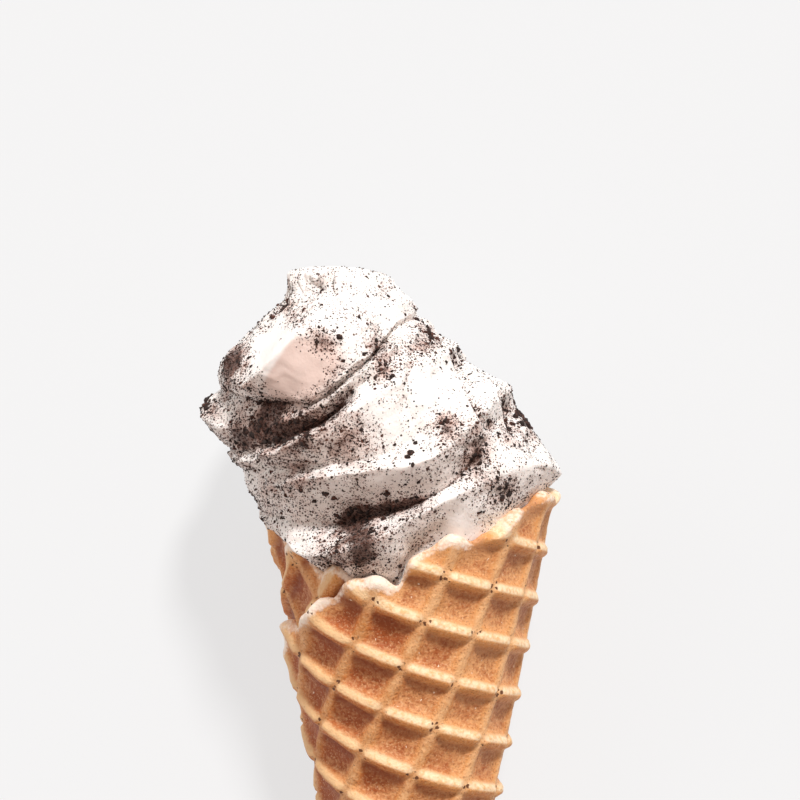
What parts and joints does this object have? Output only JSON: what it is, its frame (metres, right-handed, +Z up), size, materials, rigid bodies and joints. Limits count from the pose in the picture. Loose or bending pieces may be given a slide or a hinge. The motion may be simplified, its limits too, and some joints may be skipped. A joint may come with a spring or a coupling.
{
  "type": "ice cream cone",
  "caption": "Rolled waffle cone heaped with swirled soft ice cream full of dark biscuit crumbs, lying on its back.",
  "frame": {"origin": "middle of the part's footprint, on the surface it lies on", "axes": "+Y from the cone's tip towards the ice cream, +Z up, out of the side shown"},
  "size_m": [0.0774, 0.1895, 0.0647],
  "materials": {
    "baked_wafer": "baked wafer, matt with a slight sheen on the ribs",
    "cookies_and_cream": "frozen cream, softly glossy, speckled with biscuit",
    "biscuit_crumb": "dark cocoa biscuit crumb, matt and porous"
  },
  "bodies": {
    "root": {"waffle_cone": "baked_wafer", "ice_cream": "cookies_and_cream"}
  },
  "joints": []
}
